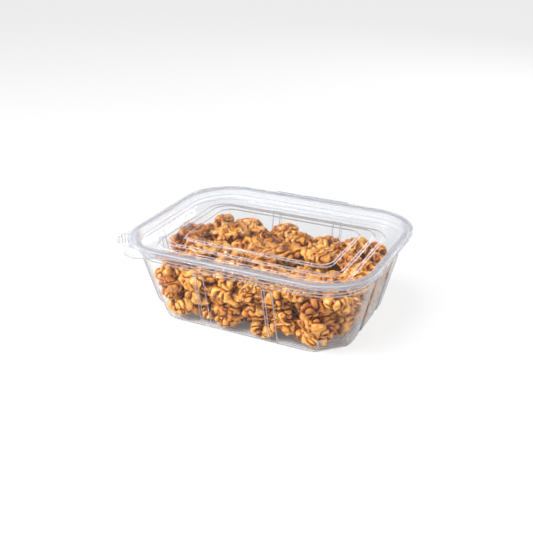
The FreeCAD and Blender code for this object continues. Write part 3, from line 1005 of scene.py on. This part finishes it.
def clear_plastic(name, tint, roughness, bending):
    """Clear pressed plastic, with pale light painted on its bends, rim and tab."""
    material = bpy.data.materials.new(name)
    material.use_nodes = True
    nodes, links = material.node_tree.nodes, material.node_tree.links
    shader = nodes["Principled BSDF"]
    shader.inputs["Base Color"].default_value = (*tint, 1)
    shader.inputs["Transmission Weight"].default_value = 1.0
    shader.inputs["Specular Tint"].default_value = (0.2, 0.2, 0.2, 1)
    shader.inputs["IOR"].default_value = bending
    wave = patches_node(nodes, 60.0, 0.3, 0.7)
    rough = nodes.new("ShaderNodeMapRange")
    rough.inputs["To Min"].default_value = roughness * 0.6
    rough.inputs["To Max"].default_value = roughness * 1.4
    links.new(wave.outputs["Mask"], rough.inputs["Value"])
    links.new(rough.outputs["Result"], shader.inputs["Roughness"])
    bump = nodes.new("ShaderNodeBump")
    bump.inputs["Strength"].default_value = 0.04
    bump.inputs["Distance"].default_value = 0.0004
    links.new(wave.outputs["Height"], bump.inputs["Height"])
    links.new(bump.outputs["Normal"], shader.inputs["Normal"])
    path = nodes.new("ShaderNodeLightPath")
    either = nodes.new("ShaderNodeMath")
    either.operation = "MAXIMUM"
    links.new(path.outputs["Is Shadow Ray"], either.inputs[0])
    links.new(path.outputs["Is Diffuse Ray"], either.inputs[1])
    through = nodes.new("ShaderNodeBsdfTransparent")
    through.inputs["Color"].default_value = (0.97, 0.97, 0.97, 1)
    edge = nodes.new("ShaderNodeLayerWeight")
    edge.inputs["Blend"].default_value = 0.5
    edge_share = nodes.new("ShaderNodeMapRange")
    edge_share.inputs["From Min"].default_value = 0.55
    edge_share.inputs["From Max"].default_value = 1.0
    edge_share.inputs["To Max"].default_value = EDGE_LIGHT
    links.new(edge.outputs["Facing"], edge_share.inputs["Value"])
    deep = node_math(nodes, links, "GREATER_THAN", path.outputs["Ray Depth"], DEEPEST)
    share = node_math(nodes, links, "MAXIMUM", either.outputs["Value"], edge_share.outputs["Result"])
    share = node_math(nodes, links, "MAXIMUM", share, deep)
    # Painted light: a pale bluish grey, diffuse and translucent, is mixed into the clear sheet as far as each point's
    # stored painted light reaches.
    caught = nodes.new("ShaderNodeAttribute")
    caught.attribute_name = "caught"
    pale = node_math(nodes, links, "MULTIPLY", caught.outputs["Fac"], BEND_LIGHT)
    front = nodes.new("ShaderNodeBsdfDiffuse")
    front.inputs["Color"].default_value = (0.60, 0.62, 0.68, 1)
    rear = nodes.new("ShaderNodeBsdfTranslucent")
    rear.inputs["Color"].default_value = (0.50, 0.52, 0.58, 1)
    painted_pale_shader = nodes.new("ShaderNodeMixShader")
    links.new(front.outputs["BSDF"], painted_pale_shader.inputs[1])
    links.new(rear.outputs["BSDF"], painted_pale_shader.inputs[2])
    sheet = nodes.new("ShaderNodeMixShader")
    links.new(pale, sheet.inputs["Fac"])
    links.new(shader.outputs["BSDF"], sheet.inputs[1])
    links.new(painted_pale_shader.outputs["Shader"], sheet.inputs[2])
    blend = nodes.new("ShaderNodeMixShader")
    links.new(share, blend.inputs["Fac"])
    links.new(sheet.outputs["Shader"], blend.inputs[1])
    links.new(through.outputs["BSDF"], blend.inputs[2])
    links.new(blend.outputs["Shader"], nodes["Material Output"].inputs["Surface"])
    return material


clear = clear_plastic("clear sheet", (0.90, 0.905, 0.92), 0.03, 1.42)
film_clear = clear_plastic("hinge film", (0.74, 0.76, 0.80), 0.10, 1.42)
dotted = clear_plastic("frosted dots", (0.96, 0.965, 0.97), 0.45, 1.2)
for piece in (tray, lid):
    piece.data.materials.append(clear)
film.data.materials.append(film_clear)
dots.data.materials.append(dotted)

# %% [markdown]
# ## Table and light
# The pack stands on plain white. The floor shows nearly white to the camera by itself and
# keeps a share of the real light, so the pack's soft shadow stays on it. In rays that the sheet
# has mirrored, the floor is a glow that is dimmer near the pack, a painted shadow. Three soft
# lamps light the walnuts from above, and draw bright lines on the bends of the sheet, next to
# the pale light painted there.

# %% Floor
FLOOR_DROP = 0.0002
FLOOR_WHITE = 0.80
FLOOR_THROUGH = 0.12
# Painted shadow: in rays that the sheet has mirrored, the floor's glow is dimmer within these distances of the pack.
NEAR_FLOOR = (0.13, 0.20)
MIRRORED_FLOOR = (0.72, 1.0)


def mirrored(nodes, links, path):
    """1 for a ray that a clear or shiny surface has sent back, and 0 for every other ray."""
    turns = node_math(nodes, links, "SUBTRACT", path.outputs["Ray Depth"], path.outputs["Transmission Depth"])
    turned = node_math(nodes, links, "GREATER_THAN", turns, 0.5)
    sharp = node_math(nodes, links, "MAXIMUM", path.outputs["Is Glossy Ray"], path.outputs["Is Transmission Ray"])
    return node_math(nodes, links, "MULTIPLY", turned, sharp)


def pale_floor():
    """A wide round table top."""
    bm = bmesh.new()
    bmesh.ops.create_circle(bm, cap_ends=True, segments=96, radius=4.0)
    bmesh.ops.translate(bm, verts=bm.verts[:], vec=(0, 0, -FLOOR_DROP))
    floor = link_piece("floor", bm, smooth=False)
    material = bpy.data.materials.new("white table")
    material.use_nodes = True
    nodes, links = material.node_tree.nodes, material.node_tree.links
    shader = nodes["Principled BSDF"]
    shader.inputs["Base Color"].default_value = (0.72, 0.72, 0.72, 1)
    shader.inputs["Roughness"].default_value = 0.9
    shader.inputs["Specular IOR Level"].default_value = 0.0
    glow = nodes.new("ShaderNodeEmission")
    glow.inputs["Strength"].default_value = 1.0
    place = nodes.new("ShaderNodeTexCoord")
    reach = nodes.new("ShaderNodeVectorMath")
    reach.operation = "LENGTH"
    links.new(place.outputs["Object"], reach.inputs[0])
    # Painted shadow in reflections: the glow grows from dim near the pack to full further out.
    near = nodes.new("ShaderNodeMapRange")
    near.inputs["From Min"].default_value = NEAR_FLOOR[0]
    near.inputs["From Max"].default_value = NEAR_FLOOR[1]
    near.inputs["To Min"].default_value = MIRRORED_FLOOR[0]
    near.inputs["To Max"].default_value = MIRRORED_FLOOR[1]
    links.new(reach.outputs["Value"], near.inputs["Value"])
    painted_floor_shade = nodes.new("ShaderNodeEmission")
    links.new(near.outputs["Result"], painted_floor_shade.inputs["Strength"])
    path = nodes.new("ShaderNodeLightPath")
    through = node_math(nodes, links, "MULTIPLY", path.outputs["Is Transmission Ray"], FLOOR_THROUGH)
    share = node_math(nodes, links, "MULTIPLY", path.outputs["Is Camera Ray"], FLOOR_WHITE)
    share = node_math(nodes, links, "MAXIMUM", share, through)
    white = nodes.new("ShaderNodeMixShader")
    links.new(share, white.inputs["Fac"])
    links.new(shader.outputs["BSDF"], white.inputs[1])
    links.new(glow.outputs["Emission"], white.inputs[2])
    blend = nodes.new("ShaderNodeMixShader")
    links.new(mirrored(nodes, links, path), blend.inputs["Fac"])
    links.new(white.outputs["Shader"], blend.inputs[1])
    links.new(painted_floor_shade.outputs["Emission"], blend.inputs[2])
    links.new(blend.outputs["Shader"], nodes["Material Output"].inputs["Surface"])
    floor.data.materials.append(material)
    return floor


pale_floor()

# %% World
SOFT_LIGHT = 0.17
WALLS_TOP = (0.20, 0.40)
BRIGHT_WALLS = 1.2
DARK_CEILING = 0.16
bpy.context.scene.view_settings.view_transform = "Standard"
world = bpy.data.worlds.new("studio")
bpy.context.scene.world = world
world.use_nodes = True
nodes, links = world.node_tree.nodes, world.node_tree.links
soft = nodes["Background"]
soft.inputs["Color"].default_value = (1, 1, 1, 1)
soft.inputs["Strength"].default_value = SOFT_LIGHT
white = nodes.new("ShaderNodeBackground")
white.inputs["Color"].default_value = (1, 1, 1, 1)
white.inputs["Strength"].default_value = 1.0
path = nodes.new("ShaderNodeLightPath")
seen = node_math(nodes, links, "MAXIMUM", path.outputs["Is Camera Ray"], path.outputs["Is Transmission Ray"])
direct = nodes.new("ShaderNodeMixShader")
links.new(seen, direct.inputs["Fac"])
links.new(soft.outputs["Background"], direct.inputs[1])
links.new(white.outputs["Background"], direct.inputs[2])
place = nodes.new("ShaderNodeTexCoord")
height = nodes.new("ShaderNodeSeparateXYZ")
links.new(place.outputs["Generated"], height.inputs["Vector"])
fall = nodes.new("ShaderNodeMapRange")
fall.inputs["From Min"].default_value = WALLS_TOP[0]
fall.inputs["From Max"].default_value = WALLS_TOP[1]
fall.inputs["To Min"].default_value = BRIGHT_WALLS
fall.inputs["To Max"].default_value = DARK_CEILING
links.new(height.outputs["Z"], fall.inputs["Value"])
studio = nodes.new("ShaderNodeBackground")
studio.inputs["Color"].default_value = (1, 1, 1, 1)
links.new(fall.outputs["Result"], studio.inputs["Strength"])
blend = nodes.new("ShaderNodeMixShader")
links.new(mirrored(nodes, links, path), blend.inputs["Fac"])
links.new(direct.outputs["Shader"], blend.inputs[1])
links.new(studio.outputs["Background"], blend.inputs[2])
links.new(blend.outputs["Shader"], nodes["World Output"].inputs["Surface"])

# %% Lamps
def soft_lamp(name, place, size, power):
    """A square lamp that looks at the pack."""
    data = bpy.data.lights.new(name, "AREA")
    data.shape = "RECTANGLE"
    data.size, data.size_y = size
    data.energy = power
    lamp = bpy.data.objects.new(name, data)
    lamp.location = place
    aim = Vector((0, 0, 0.03)) - Vector(place)
    lamp.rotation_euler = aim.to_track_quat("-Z", "Y").to_euler()
    bpy.context.scene.collection.objects.link(lamp)
    return lamp


soft_lamp("key lamp", (-0.50, -0.50, 0.80), (0.60, 0.60), 20.0)
soft_lamp("left strip", (-0.75, -0.60, 0.25), (0.14, 0.80), 5.0)
soft_lamp("right strip", (0.85, -0.40, 0.30), (0.14, 0.80), 5.0)
soft_lamp("back lamp", (0.25, 0.9, 0.6), (0.7, 0.3), 7.0)
